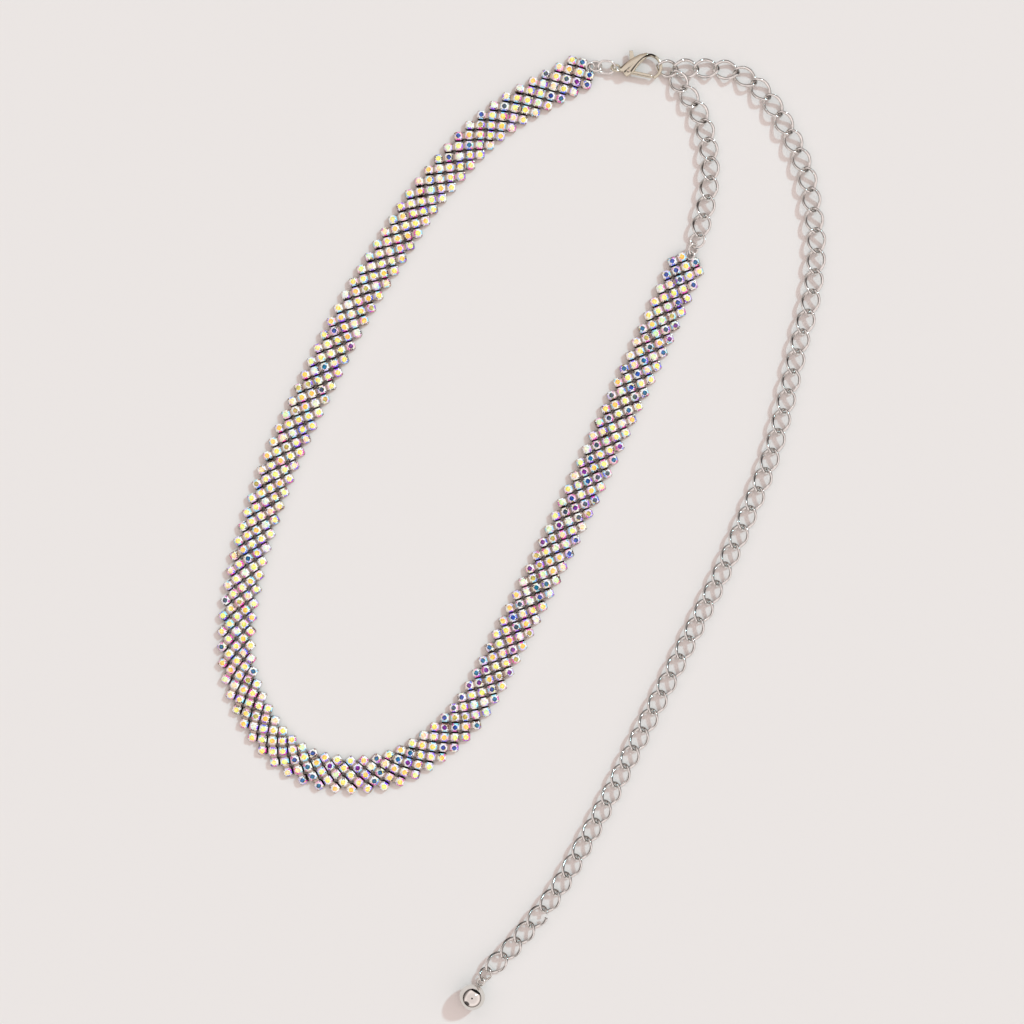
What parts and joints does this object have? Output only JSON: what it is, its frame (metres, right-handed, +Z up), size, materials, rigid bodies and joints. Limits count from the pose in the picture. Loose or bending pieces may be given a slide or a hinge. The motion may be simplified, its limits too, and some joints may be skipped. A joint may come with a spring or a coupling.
{
  "type": "waist chain",
  "caption": "Stone-set waist chain: a mesh band of square-set cut stones closed by a curb chain, a lobster clasp and an extender chain that ends in a ball.",
  "frame": {"origin": "on the surface that the chain lies on, below the middle of its bounding box", "axes": "+Z up from the surface; +Y along the length of the laid loop, towards the clasp; +X towards the extender chain"},
  "size_m": [0.2134, 0.3349, 0.009],
  "materials": {
    "stones_warm": "cut glass with a rainbow coating in silver cups",
    "stones_cool": "cut glass with a rainbow coating in silver cups",
    "chain_silver": "polished silver plate",
    "clasp_silver": "smooth polished plate",
    "ball_silver": "bright polished plate"
  },
  "bodies": {
    "chain": {"stone_band_left": "stones_warm", "stone_band_right": "stones_cool", "waist_chain": "chain_silver", "tail_chain": "chain_silver", "band_ring": "chain_silver", "clasp_link": "chain_silver", "clasp_body": "clasp_silver", "clasp_pin": "clasp_silver", "chain_ring_large": "chain_silver", "chain_ring_small": "chain_silver", "ball_link": "chain_silver", "end_ball": "ball_silver"},
    "lever": {"clasp_lever": "clasp_silver"}
  },
  "joints": [
    {"name": "clasp_gate", "type": "hinge", "parent": "chain", "child": "lever", "pos_m": [0.0369, 0.1601, 0.00195], "axis": [0, 0, 1], "range_deg": [0, 20], "stiffness_Nm_per_rad": 0.0002}
  ]
}
